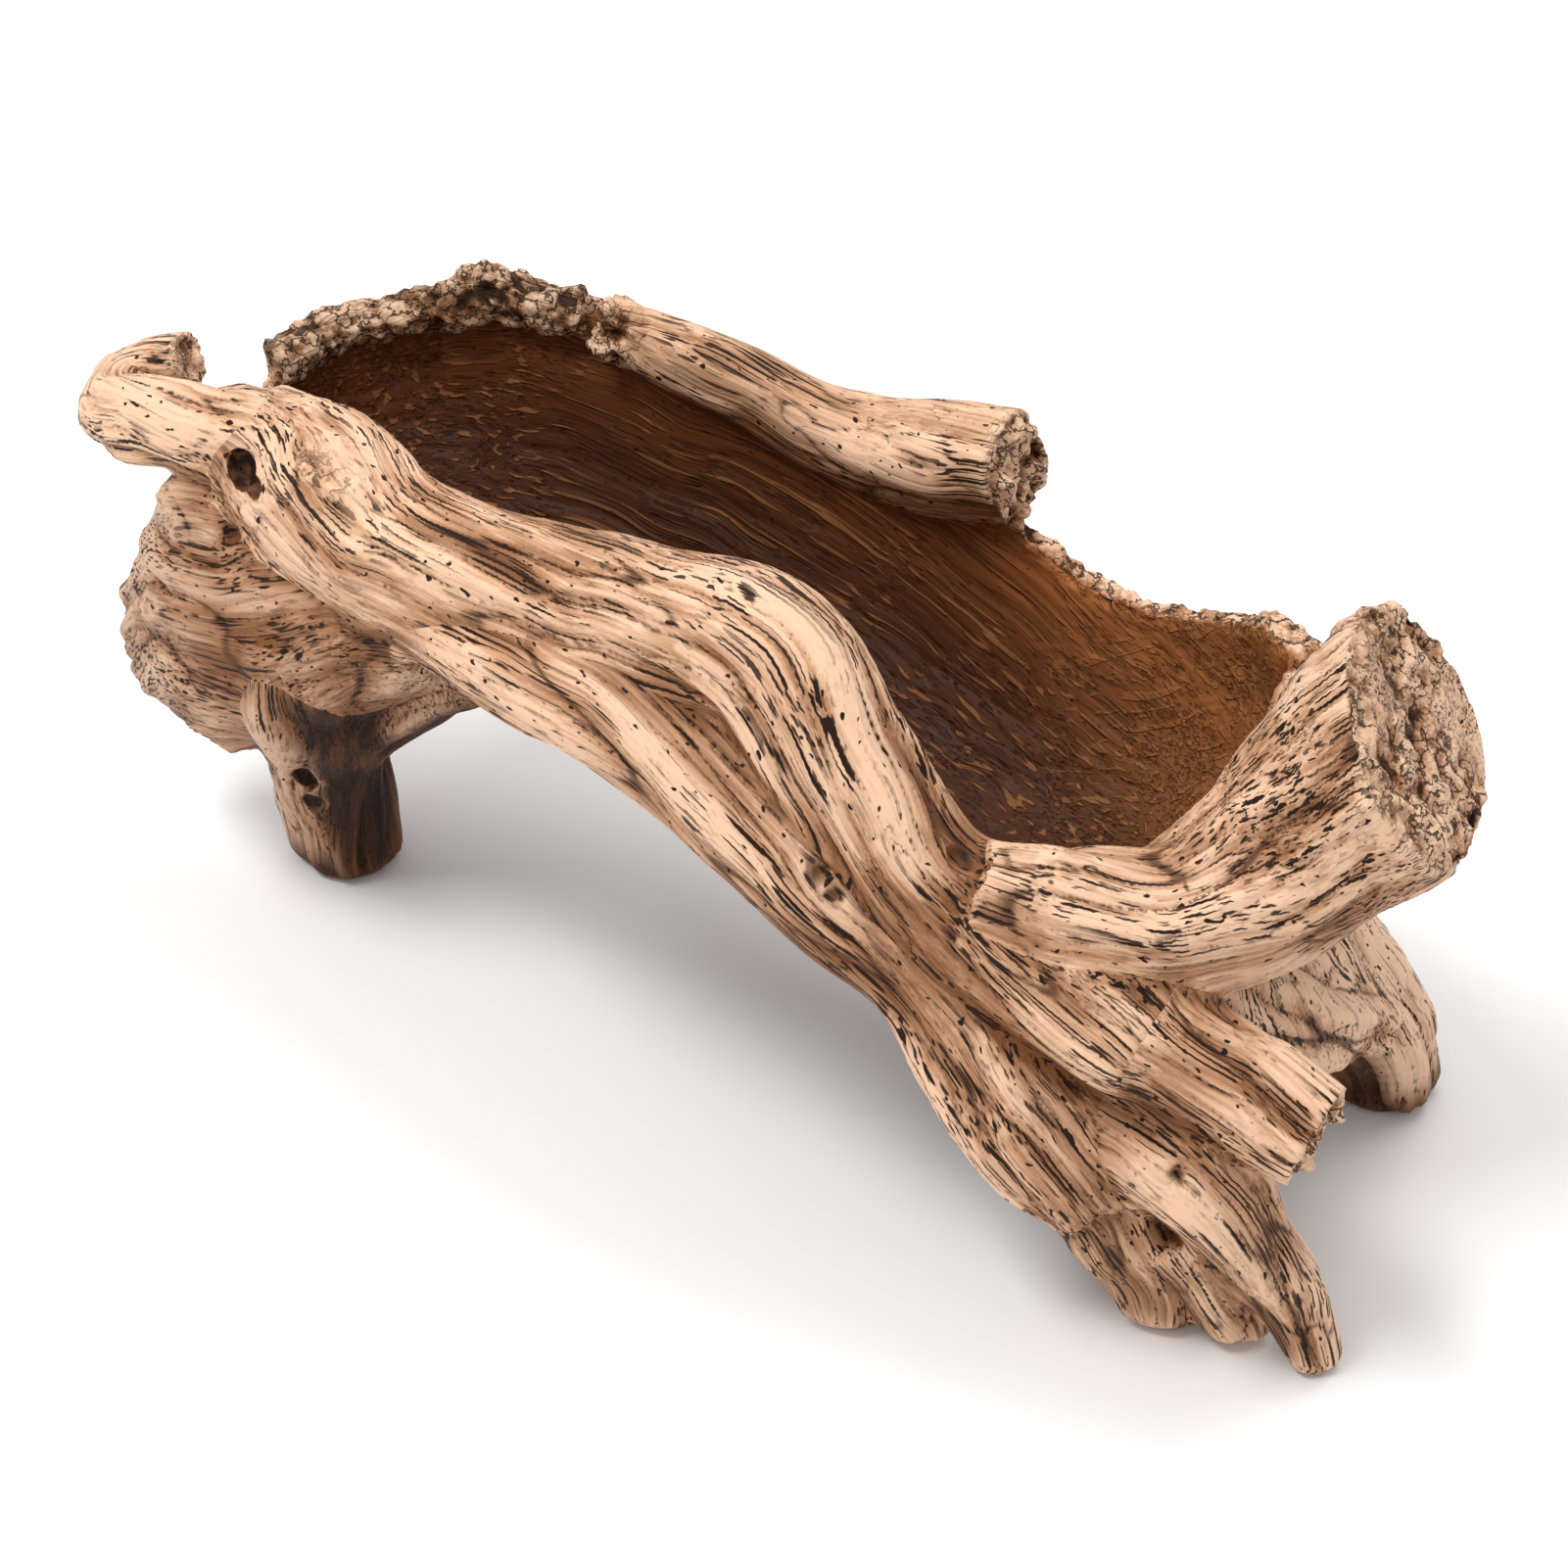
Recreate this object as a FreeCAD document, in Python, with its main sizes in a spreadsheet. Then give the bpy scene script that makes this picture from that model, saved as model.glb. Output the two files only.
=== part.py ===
import FreeCAD
import Part
import Sketcher
import os

# Resin cave ornament: a hollow driftwood log that stands on root legs, open on top like a trough,
# with an arched cave under it. It is cold-cast in separate pieces that are pinned and glued.
#
# Millimetres. The trough runs along X, its open side faces +Z and the low front rim faces -Y.
# The middle lines below are set out from the layout point under the belly of the trough. The
# finished pieces are then moved by origin_x and origin_y, which puts the origin on the ground
# under the centre of the whole ornament.

SIZES = {
    "origin_x": 14.0,
    "origin_y": -7.2,
    "wall": 6.0,
    "wall_pin_radius": 1.5,
    "wall_pin_length": 10.0,
    "leg_pin_radius": 2.5,
    "leg_pin_length": 22.0,
    "rim_split_y": 22.0,
    "rim_cut_top": 170.0,
    "rim_cut_reach": 90.0,
    "ground_length": 400.0,
    "ground_depth": 40.0,
}

# Round roots: x, y, z of each station on the middle line, then its radius.
ROUND_ROOTS = {
    "crest_root": [
        (-118, -4, 103.5, 11.5),
        (-100, -6, 99, 16),
        (-75, -12, 97, 15),
        (-42, -16, 102, 14.5),
        (-13, -19, 108, 14),
        (9, -20, 109, 15),
        (27, -26, 96.5, 13.5),
        (45, -30, 81, 13),
        (68, -31, 71, 13),
        (91, -31, 65, 12),
    ],
    "hook_knot": [
        (-112, -5, 104.5, 11),
        (-122, -6, 105, 9.5),
        (-134, -6, 103, 8.5),
        (-145, -5, 99.5, 8.5),
        (-152, -1, 97, 8),
        (-156, 6.5, 96, 7.5),
        (-153, 13, 98.5, 7),
        (-146, 15, 101.5, 6.2),
    ],
    "lower_root": [
        (-70, -18, 88, 8),
        (-45, -25, 93, 10.5),
        (-15, -31, 94.5, 11),
        (12, -35, 85.5, 11.2),
        (31, -37, 75.5, 11),
        (52, -36.5, 63.5, 11),
        (74, -38, 45, 14.5),
        (86, -36, 33, 13.5),
    ],
    "snapped_branch": [
        (91, -31, 65, 12),
        (114, -31, 59, 9.5),
        (124, -31, 56.4, 8.5),
    ],
    "sawn_log": [
        (56, -30, 82, 10.5),
        (71, -25, 80, 13),
        (87, -14, 78, 14.5),
        (97, 2, 83, 17.5),
        (105, 13, 93.5, 20),
        (114.5, 22.5, 106, 24),
    ],
    "rim_branch": [
        (-74, 54, 112, 6),
        (-47, 57, 107.5, 7),
        (-24, 58, 102, 8),
        (-2, 58, 102.5, 10),
        (18, 57, 107.5, 10.5),
    ],
    "bark_rim": [
        (-131, 22, 102, 5.5),
        (-125, 36, 104, 5),
        (-116, 43, 106, 5),
        (-107, 48, 108.5, 5.5),
        (-98, 51, 113.5, 6),
        (-88, 53, 112, 5.5),
        (-78, 55, 112, 5),
    ],
    "left_foot": [
        (-104, -9, 69, 17),
        (-103, -10, 58, 17),
        (-104, -7, 43, 13.5),
        (-105.5, -3, 22, 11.5),
        (-106.5, 2, -8, 10),
    ],
    "rear_foot": [
        (80, 22, 66, 18),
        (87, 25, 51, 16.5),
        (94, 33, 36, 14.5),
        (103, 41, 20, 13.5),
        (107, 45, 6, 12),
        (108, 46, -8, 12),
    ],
    "short_toe": [
        (80, -37, 40, 12),
        (88, -36, 28, 11.5),
        (94.5, -33, 15, 9.5),
        (100, -27, -8, 8),
    ],
    "long_toe": [
        (84, -36, 46, 9),
        (104, -36, 42, 10),
        (116, -34, 28, 8),
        (124, -31, 10, 5.8),
        (129, -28, -8, 5),
    ],
}

# Upright oval stations: x, y, z of the centre, half of the width across Y, half of the height.
OVALS = {
    "root_flare": [
        (-151, -6, 47, 5, 13),
        (-143, -7, 51, 10, 18),
        (-134, -8, 60, 14, 31),
        (-121, -9, 63, 18, 32),
        (-106, -9, 66, 18, 27),
        (-88, -9, 75, 16, 21),
        (-70, -13, 83, 11, 12),
    ],
    "trough_cavity": [
        (-130, 17, 100, 7, 9),
        (-118, 20, 103, 21, 24),
        (-95, 22, 108, 29, 40),
        (-50, 22, 106, 33, 46),
        (0, 20, 100, 35, 47),
        (40, 17, 94, 34, 46),
        (68, 18, 92, 27, 38),
        (85, 20, 91, 16, 23),
    ],
}

# Height of the trough's rim along X, behind and in front of its middle.
BACK_RIM = [
    (-170, 92),
    (-136, 94),
    (-126, 101),
    (-113, 109),
    (-100, 113),
    (-82, 115),
    (-66, 110),
    (-44, 105),
    (-20, 100),
    (8, 98),
    (22, 94),
    (36, 89),
    (50, 90),
    (64, 95),
    (76, 103),
    (120, 108),
]
FRONT_RIM = [
    (-170, 92),
    (-136, 94),
    (-110, 96),
    (-80, 92),
    (-42, 96),
    (-13, 102),
    (9, 103),
    (27, 94),
    (45, 80),
    (60, 74),
    (72, 78),
    (90, 86),
    (120, 94),
]

# Pins across the glued joints: middle point, direction, and whether it is held in the trough's
# wall or in the thick of a root or leg.
PINS = {
    "hook_knot": ((-118, -4, 103), (1, 0, 0), "leg"),
    "crest_root_left": ((-91, -7, 90), (0, 0, 1), "wall"),
    "crest_root_middle": ((-2, -18, 102), (0, 0, 1), "wall"),
    "lower_root_left": ((-15, -25, 101), (0, 0.65, 0.76), "leg"),
    "lower_root_right": ((60, -34, 65), (0, 0.37, 0.93), "leg"),
    "snapped_branch": ((91, -31, 65), (0.97, 0, -0.25), "leg"),
    "sawn_log_front": ((66, -27, 79), (0.5, 0.3, 0.81), "wall"),
    "sawn_log_end": ((88, 15, 84), (1, 0, 0), "wall"),
    "root_flare_back": ((-103, 0, 76), (0.28, 0.71, 0.65), "wall"),
    "root_flare_top": ((-101, -13, 85), (0, 0, 1), "leg"),
    "left_foot": ((-106, -9, 45), (0, 0, 1), "leg"),
    "rear_foot": ((80, 30, 61), (0.63, 0.33, -0.7), "wall"),
    "short_toe": ((85, -37, 32), (0.69, 0.1, -0.72), "leg"),
    "long_toe": ((94, -36.5, 44.5), (0.98, -0.06, -0.17), "wall"),
    "rim_branch_left": ((-50, 58, 105), (0, 0, 1), "wall"),
    "rim_branch_right": ((5, 58, 98), (0, 0, 1), "wall"),
    "bark_rim": ((-98, 53.5, 110), (0, 0, 1), "wall"),
}

# What each root is trimmed against, in the order the pieces are fitted. The trough comes first,
# and "core" keeps a root out of the hollow of the trough.
FITTING = {
    "crest_root": ["trough_shell"],
    "hook_knot": ["crest_root", "trough_shell"],
    "lower_root": ["crest_root", "trough_shell", "core"],
    "root_flare": ["crest_root", "lower_root", "trough_shell", "core"],
    "left_foot": ["root_flare", "trough_shell", "core", "ground"],
    "sawn_log": ["crest_root", "lower_root", "trough_shell", "core"],
    "snapped_branch": ["crest_root"],
    "short_toe": ["lower_root", "ground"],
    "long_toe": ["lower_root", "short_toe", "snapped_branch", "crest_root", "ground"],
    "rear_foot": ["sawn_log", "trough_shell", "core", "ground"],
    "rim_branch": ["trough_shell"],
    "bark_rim": ["trough_shell"],
}

doc = FreeCAD.newDocument("resin_cave_ornament")
sheet = doc.addObject("Spreadsheet::Sheet", "Sizes")


def fill_sheet():
    """Write every driving size as a plain number in a cell with an alias."""
    rows = []
    for name, value in SIZES.items():
        rows.append([(name, value)])
    for root, stations in ROUND_ROOTS.items():
        for number, station in enumerate(stations):
            rows.append(list(zip(station_aliases(root, number, "x y z radius"), station)))
    for oval, stations in OVALS.items():
        for number, station in enumerate(stations):
            rows.append(list(zip(station_aliases(oval, number, "x y z across upright"), station)))
    for row_number, row in enumerate(rows, start=1):
        for column, (alias, value) in zip("BCDEF", row):
            cell = f"{column}{row_number}"
            sheet.set(cell, str(value))
            sheet.setAlias(cell, alias)
        sheet.set(f"A{row_number}", row[0][0])
    doc.recompute()


def station_aliases(piece, number, words):
    return [f"{piece}_{number}_{word}" for word in words.split()]


def origin_plane(body, role):
    for feature in body.Origin.OriginFeatures:
        if feature.Role == role:
            return feature
    raise ValueError(f"{body.Name} has no {role}")


def section_rotation(points, number):
    """Turn a section square to the middle line, without twist from one station to the next."""
    before = points[max(number - 1, 0)]
    after = points[min(number + 1, len(points) - 1)]
    along = (after - before).normalize()
    run = points[-1] - points[0]
    axes = [FreeCAD.Vector(1, 0, 0), FreeCAD.Vector(0, 1, 0), FreeCAD.Vector(0, 0, 1)]
    steady = min(axes, key=lambda axis: abs(axis.dot(run)))
    across = steady.cross(along).normalize()
    return FreeCAD.Rotation(across, along.cross(across), along, "ZXY")


def place_sketch(body, name, rotation, station_alias):
    """Attach a sketch to the body's ground plane and move it to a station of the middle line."""
    sketch = body.newObject("Sketcher::SketchObject", name)
    sketch.AttachmentSupport = [(origin_plane(body, "XY_Plane"), "")]
    sketch.MapMode = "FlatFace"
    sketch.AttachmentOffset = FreeCAD.Placement(FreeCAD.Vector(0, 0, 0), rotation)
    for axis in "xyz":
        sketch.setExpression(f".AttachmentOffset.Base.{axis}", f"<<Sizes>>.{station_alias}_{axis}")
    return sketch


def circle_section(sketch, radius_cell):
    sketch.addGeometry(Part.Circle(FreeCAD.Vector(0, 0, 0), FreeCAD.Vector(0, 0, 1), 10), False)
    sketch.addConstraint(Sketcher.Constraint("Coincident", 0, 3, -1, 1))
    radius = sketch.addConstraint(Sketcher.Constraint("Radius", 0, 10))
    sketch.renameConstraint(radius, "radius")
    sketch.setExpression("Constraints.radius", radius_cell)


def oval_section(sketch, across_cell, upright_cell):
    """An ellipse whose long axis stands upright in the sketch."""
    centre = FreeCAD.Vector(0, 0, 0)
    ellipse = Part.Ellipse(FreeCAD.Vector(0, 20, 0), FreeCAD.Vector(10, 0, 0), centre)
    sketch.addGeometry(ellipse, False)
    sketch.exposeInternalGeometry(0)
    sketch.addConstraint(Sketcher.Constraint("Coincident", 0, 3, -1, 1))
    sketch.addConstraint(Sketcher.Constraint("Vertical", 1))
    upright = sketch.addConstraint(Sketcher.Constraint("Distance", 1, 40))
    across = sketch.addConstraint(Sketcher.Constraint("Distance", 2, 20))
    sketch.renameConstraint(upright, "upright")
    sketch.renameConstraint(across, "across")
    sketch.setExpression("Constraints.upright", f"2 * ({upright_cell})")
    sketch.setExpression("Constraints.across", f"2 * ({across_cell})")


def loft(body, sketches):
    feature = body.newObject("PartDesign::AdditiveLoft", f"{body.Name}_loft")
    feature.Profile = sketches[0]
    feature.Sections = sketches[1:]
    feature.Ruled = False
    body.Tip = feature
    return body


def round_root(name):
    """A root cast as one swept bar: a loft through the round stations of its middle line."""
    body = doc.addObject("PartDesign::Body", f"{name}_bar")
    points = [FreeCAD.Vector(*station[:3]) for station in ROUND_ROOTS[name]]
    sketches = []
    for number in range(len(points)):
        alias = f"{name}_{number}"
        rotation = section_rotation(points, number)
        sketch = place_sketch(body, f"{alias}_section", rotation, alias)
        circle_section(sketch, f"<<Sizes>>.{alias}_radius")
        sketches.append(sketch)
    return loft(body, sketches)


def oval_log(name, table_name, skin=""):
    """A loft through upright ovals that all face along X. A skin makes it that much fatter and longer."""
    body = doc.addObject("PartDesign::Body", name)
    axes = [FreeCAD.Vector(0, 1, 0), FreeCAD.Vector(0, 0, 1), FreeCAD.Vector(1, 0, 0)]
    facing_x = FreeCAD.Rotation(*axes, "ZXY")
    grow = f" + {skin}" if skin else ""
    sketches = []
    for number in range(len(OVALS[table_name])):
        alias = f"{table_name}_{number}"
        sketch = place_sketch(body, f"{name}_{number}_section", facing_x, alias)
        oval_section(sketch, f"<<Sizes>>.{alias}_across{grow}", f"<<Sizes>>.{alias}_upright{grow}")
        sketches.append(sketch)
    if skin:
        first = f"{table_name}_0_x"
        last = f"{table_name}_{len(sketches) - 1}_x"
        sketches[0].setExpression(".AttachmentOffset.Base.x", f"<<Sizes>>.{first} - {skin}")
        sketches[-1].setExpression(".AttachmentOffset.Base.x", f"<<Sizes>>.{last} + {skin}")
    return loft(body, sketches)


def rim_cutter(name, rim, side):
    """Everything above one side of the rim: a padded outline that reaches away from the split plane."""
    body = doc.addObject("PartDesign::Body", name)
    sketch = body.newObject("Sketcher::SketchObject", f"{name}_outline")
    sketch.AttachmentSupport = [(origin_plane(body, "XZ_Plane"), "")]
    sketch.MapMode = "FlatFace"
    # the XZ plane's own normal points along -Y
    sketch.setExpression(".AttachmentOffset.Base.z", "-<<Sizes>>.rim_split_y")
    top = SIZES["rim_cut_top"]
    outline = [(rim[0][0], top)] + list(rim) + [(rim[-1][0], top)]
    corners = [FreeCAD.Vector(x, z, 0) for x, z in outline]
    for start, end in zip(corners, corners[1:] + corners[:1]):
        sketch.addGeometry(Part.LineSegment(start, end), False)
    for edge in range(len(corners)):
        following = (edge + 1) % len(corners)
        sketch.addConstraint(Sketcher.Constraint("Coincident", edge, 2, following, 1))
    pad = body.newObject("PartDesign::Pad", f"{name}_pad")
    pad.Profile = sketch
    pad.setExpression("Length", "<<Sizes>>.rim_cut_reach")
    pad.Reversed = side == "back"
    body.Tip = pad
    return body


def cut(name, base, tools):
    """Cut a chain of tools out of a base, one boolean each. The last one carries the piece's name."""
    shape = base
    for number, tool in enumerate(tools, start=1):
        step = doc.addObject("Part::Cut", f"{name}_cut_{number}")
        step.Base = shape
        step.Tool = tool
        shape = step
    return shape


def pin_set():
    """Glass-fibre rods, one across each glued joint, as one group of separate solids."""
    rods = []
    for name, (middle, direction, kind) in PINS.items():
        along = FreeCAD.Vector(*direction).normalize()
        half = along * (SIZES[f"{kind}_pin_length"] / 2)
        rod = doc.addObject("Part::Cylinder", f"{name}_pin")
        rod.setExpression("Radius", f"<<Sizes>>.{kind}_pin_radius")
        rod.setExpression("Height", f"<<Sizes>>.{kind}_pin_length")
        turn = FreeCAD.Rotation(FreeCAD.Vector(0, 0, 1), along)
        rod.Placement = FreeCAD.Placement(FreeCAD.Vector(*middle) - half, turn)
        rods.append(rod)
    group = doc.addObject("Part::Compound", "locating_pins")
    group.Links = rods
    return group


def ground_block():
    """The solid under the ground plane that cuts the soles flat."""
    block = doc.addObject("Part::Box", "ground_block")
    block.setExpression("Length", "<<Sizes>>.ground_length")
    block.setExpression("Width", "<<Sizes>>.ground_length")
    block.setExpression("Height", "<<Sizes>>.ground_depth")
    half = SIZES["ground_length"] / 2
    block.Placement.Base = FreeCAD.Vector(-half, -half, -SIZES["ground_depth"])
    return block


def finish(node, label, solids):
    """Name a finished piece, bring it to the ornament's own origin and check it."""
    node.Label = label
    node.setExpression(".Placement.Base.x", "<<Sizes>>.origin_x")
    node.setExpression(".Placement.Base.y", "<<Sizes>>.origin_y")
    doc.recompute()
    shape = node.Shape
    if shape.isNull() or not shape.isValid():
        raise ValueError(f"{label} has no valid shape")
    if len(shape.Solids) != solids:
        raise ValueError(f"{label} has {len(shape.Solids)} solids, not {solids}")


def build():
    fill_sheet()
    pins = pin_set()
    ground = ground_block()
    core = oval_log("trough_core", "trough_cavity")
    blank = oval_log("trough_blank", "trough_cavity", "<<Sizes>>.wall")
    back_cutter = rim_cutter("back_rim_cutter", BACK_RIM, "back")
    front_cutter = rim_cutter("front_rim_cutter", FRONT_RIM, "front")
    bars = {name: round_root(name) for name in ROUND_ROOTS}
    bars["root_flare"] = oval_log("root_flare_bar", "root_flare")

    fitted = {"core": core, "ground": ground}
    fitted["trough_shell"] = cut("trough_shell", blank, [core, back_cutter, front_cutter])
    for name, neighbours in FITTING.items():
        fitted[name] = cut(name, bars[name], [fitted[neighbour] for neighbour in neighbours])
    doc.recompute()

    nodes = {}
    for name in ["trough_shell"] + list(FITTING):
        drilled = doc.addObject("Part::Cut", f"{name}_piece")
        drilled.Base = fitted[name]
        drilled.Tool = pins
        nodes[name] = drilled
    doc.recompute()
    for name, node in nodes.items():
        if node.Shape.Volume >= fitted[name].Shape.Volume:
            raise ValueError(f"no pin hole was cut in {name}")
        finish(node, name, 1)
    # the pins are left till last: their move must not shift the holes
    group = doc.addObject("Part::Compound", "pin_group")
    group.Links = pins.Links
    finish(group, "locating_pins", len(PINS))
    nodes["locating_pins"] = group
    return nodes


def check_document():
    for item in doc.Objects:
        if "Invalid" in item.State or "Error" in item.State:
            raise ValueError(f"{item.Name} did not compute: {item.State}")


def export(nodes):
    os.makedirs("parts", exist_ok=True)
    for name, node in nodes.items():
        node.Shape.exportStep(os.path.join("parts", f"{name}.step"))
        box = node.Shape.optimalBoundingBox()
        low = [round(value, 1) for value in (box.XMin, box.YMin, box.ZMin)]
        high = [round(value, 1) for value in (box.XMax, box.YMax, box.ZMax)]
        print(f"{name}: {node.Shape.Volume:.0f} mm3, {low} to {high}")


pieces = build()
check_document()
export(pieces)
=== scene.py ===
import math

import bpy
import numpy as np
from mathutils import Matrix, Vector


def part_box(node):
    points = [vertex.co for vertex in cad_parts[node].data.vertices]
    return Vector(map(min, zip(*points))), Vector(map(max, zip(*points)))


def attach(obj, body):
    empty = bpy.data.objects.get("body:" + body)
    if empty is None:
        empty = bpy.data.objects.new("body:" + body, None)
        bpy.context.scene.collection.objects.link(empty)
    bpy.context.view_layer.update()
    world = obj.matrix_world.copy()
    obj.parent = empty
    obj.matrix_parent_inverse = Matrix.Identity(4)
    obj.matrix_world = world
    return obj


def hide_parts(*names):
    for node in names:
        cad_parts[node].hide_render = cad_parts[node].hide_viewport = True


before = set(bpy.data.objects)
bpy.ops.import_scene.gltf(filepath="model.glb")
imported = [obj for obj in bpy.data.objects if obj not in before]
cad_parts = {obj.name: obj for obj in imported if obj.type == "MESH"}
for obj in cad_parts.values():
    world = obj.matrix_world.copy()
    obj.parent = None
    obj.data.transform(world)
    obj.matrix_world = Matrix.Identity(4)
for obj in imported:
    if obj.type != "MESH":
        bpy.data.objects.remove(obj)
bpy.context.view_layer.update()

import openvdb

# Resin cave ornament: a hollow driftwood log on root legs. Every root is a field of distances
# around its middle line. The fields are blended, the hollow is carved out, and each piece is
# meshed on its own from its share of the blended form, then carved with grain.
#
# Lengths are millimetres in the layout that the CAD roots use, until a mesh is made.

MM = 0.001

# The layout point, found from two CAD nodes whose places in the layout are known.
SHELL_LEFT_END_X = -136.0
PINS_BACK_Y = 59.5
ORIGIN = np.array([
    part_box("trough_shell")[0][0] / MM - SHELL_LEFT_END_X,
    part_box("locating_pins")[1][1] / MM - PINS_BACK_Y,
    0.0,
])

VOXEL = 0.75
FAR = 12.0           # distances beyond this are not worked out
BLEND = 5.0          # how softly two roots run into each other
LIP = 1.4            # how softly the hollow meets the rim
GROUND_ROUNDING = 5.0
OVERLAP = 0.6        # how far neighbours reach past their shared joint face, dipping out of sight
CAP_REACH = 1.7      # a strand's end face cuts this many radii around its centre
GRAIN_BLEND = 1.6    # how softly one piece's grain turns into the next one's
WANDER = 1.6         # how far the grain drifts, and over what length
WANDER_SIZE = 17
JAG = 2.2            # how much taller the lumps of a jagged break are
CHUNK = 20000        # points worked out at a time, to save memory

# Middle lines: x, y, z, radius, or x, y, z, half width, half height where a root is an upright oval.
# One strand per line, listed under the piece that it belongs to. A strand of two stations is the
# stub of a cut-off twig.
STRANDS = {
    "crest_root": [
        [
            (-118, -4, 103.5, 11.5), (-100, -6, 99, 16), (-75, -12, 97, 15), (-42, -16, 102, 14.5),
            (-13, -19, 108, 14), (9, -20, 109, 15), (27, -26, 96.5, 13.5), (45, -30, 81, 13),
            (68, -31, 71, 13), (91, -31, 65, 12),
        ],
        [(-92, -14, 104, 5.6), (-90.6, -14.3, 113, 5.6)],
    ],
    "hook_knot": [
        [
            (-112, -5, 104.5, 11), (-122, -6, 105, 9.5), (-134, -6, 103, 8.5), (-145, -5, 99.5, 8.5),
            (-152, -1, 97, 8), (-156, 6.5, 96, 7.5), (-153, 13, 98.5, 7), (-146, 15, 101.5, 6.2),
        ],
    ],
    "lower_root": [
        [
            (-70, -18, 88, 8), (-45, -25, 93, 10.5), (-15, -31, 94.5, 11), (12, -35, 85.5, 11.2),
            (31, -37, 75.5, 11), (52, -36.5, 63.5, 11), (74, -38, 45, 14.5), (86, -36, 33, 13.5),
        ],
    ],
    "snapped_branch": [
        [(91, -31, 65, 12), (114, -31, 59, 9.5), (124, -31, 56.4, 8.5)],
    ],
    "sawn_log": [
        [
            (56, -30, 82, 10.5), (71, -25, 80, 13), (87, -14, 78, 14.5), (97, 2, 83, 17.5),
            (105, 13, 93.5, 20), (114.5, 22.5, 106, 24),
        ],
    ],
    "rim_branch": [
        [
            (-74, 54, 112, 6), (-47, 57, 107.5, 7), (-24, 58, 102, 8), (-2, 58, 102.5, 10),
            (18, 57, 107.5, 10.5),
        ],
    ],
    "bark_rim": [
        [
            (-131, 22, 102, 5.5), (-125, 36, 104, 5), (-116, 43, 106, 5), (-107, 48, 108.5, 5.5),
            (-98, 51, 113.5, 6), (-88, 53, 112, 5.5), (-78, 55, 112, 5),
        ],
    ],
    "left_foot": [
        [
            (-104, -9, 69, 17), (-103, -10, 58, 17), (-104, -7, 43, 13.5), (-105.5, -3, 22, 11.5),
            (-106.5, 2, -8, 10),
        ],
        [(-98, -4, 42, 9), (-84, -4, 56.5, 10), (-66, -6, 73.5, 10)],
    ],
    "rear_foot": [
        [
            (80, 22, 66, 18), (87, 25, 51, 16.5), (94, 33, 36, 14.5), (103, 41, 20, 13.5),
            (107, 45, 6, 12), (108, 46, -8, 12),
        ],
        [(84, -6, 62, 13), (93, 4, 50, 12.5), (101, 18, 38, 11), (104, 32, 26, 9)],
    ],
    "short_toe": [
        [(80, -37, 40, 12), (88, -36, 28, 11.5), (94.5, -33, 15, 9.5), (100, -27, -8, 8)],
    ],
    "long_toe": [
        [(84, -36, 46, 9), (104, -36, 42, 10), (116, -34, 28, 8), (124, -31, 10, 5.8), (129, -28, -8, 5)],
        [(100, -33, 26, 9), (108, -31, 13, 6.5), (113, -29, 0, 5)],
    ],
    "root_flare": [
        [
            (-151, -6, 47, 5, 13), (-143, -7, 51, 10, 18), (-134, -8, 60, 14, 31),
            (-121, -9, 63, 18, 32), (-106, -9, 66, 18, 27), (-88, -9, 75, 16, 21),
            (-70, -13, 83, 11, 12),
        ],
    ],
}
# Upright ovals of the hollow: x, y, z, half width, half height. The outside is a wall thicker.
HOLLOW = [
    (-130, 17, 100, 7, 9), (-118, 20, 103, 21, 24), (-95, 22, 108, 29, 40), (-50, 22, 106, 33, 46),
    (0, 20, 100, 35, 47), (40, 17, 94, 34, 46), (68, 18, 92, 27, 38), (85, 20, 91, 16, 23),
]
WALL = 6.0
# The top edge of the wall: x, z, along the back and along the front.
BACK_RIM = [
    (-170, 92), (-136, 94), (-126, 101), (-113, 109), (-100, 113), (-82, 115), (-66, 110), (-44, 105),
    (-20, 100), (8, 98), (22, 94), (36, 89), (50, 90), (64, 95), (76, 103), (120, 108),
]
FRONT_RIM = [
    (-170, 92), (-136, 94), (-110, 96), (-80, 92), (-42, 96), (-13, 102), (9, 103), (27, 94), (45, 80),
    (60, 74), (72, 78), (90, 86), (120, 94),
]
RIM_SPLIT_Y = 22.0

# The pieces that the hollow is carved out of, besides the trough itself.
CARVED = ("lower_root", "root_flare", "left_foot", "sawn_log", "rear_foot")
# Pieces that end in a rough sawn or broken face, and the piece that is rough bark all over.
BROKEN_END = ("sawn_log", "snapped_branch", "short_toe", "rim_branch", "hook_knot")
JAGGED_END = ("snapped_branch", "short_toe", "rim_branch")
ROUGH_ALL_OVER = ("bark_rim",)
# Pieces under the hollow log, whose grain doesn't show through its floor.
HIDDEN_IN_HOLLOW = ("rear_foot", "sawn_log", "root_flare", "left_foot", "lower_root")
# Legs and other pieces with a dark brown side, painted shade over darker paint, and the direction that side
# faces.
DARK_SIDES = {
    "left_foot": (0.87, 0.50, 0.0), "rear_foot": (-0.80, -0.55, 0.25), "sawn_log": (-0.80, -0.45, -0.40),
    "trough_shell": (-0.45, -0.80, -0.40),
}
# The way that a sawn face looks, where that isn't straight along the piece.
END_FACING = {"sawn_log": (0.82, 0.14, 0.55)}
# Pieces that lie on the rim, so that the hollow's brown paint stops under them.
RIM_TOPPERS = ("rim_branch", "bark_rim", "hook_knot")
# How softly a piece runs into the ones before it, where that isn't BLEND.
SHARP_JOINTS = {
    "hook_knot": 1.0, "snapped_branch": 1.0, "lower_root": 2.5, "bark_rim": 3.0, "short_toe": 3.0,
}
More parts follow.
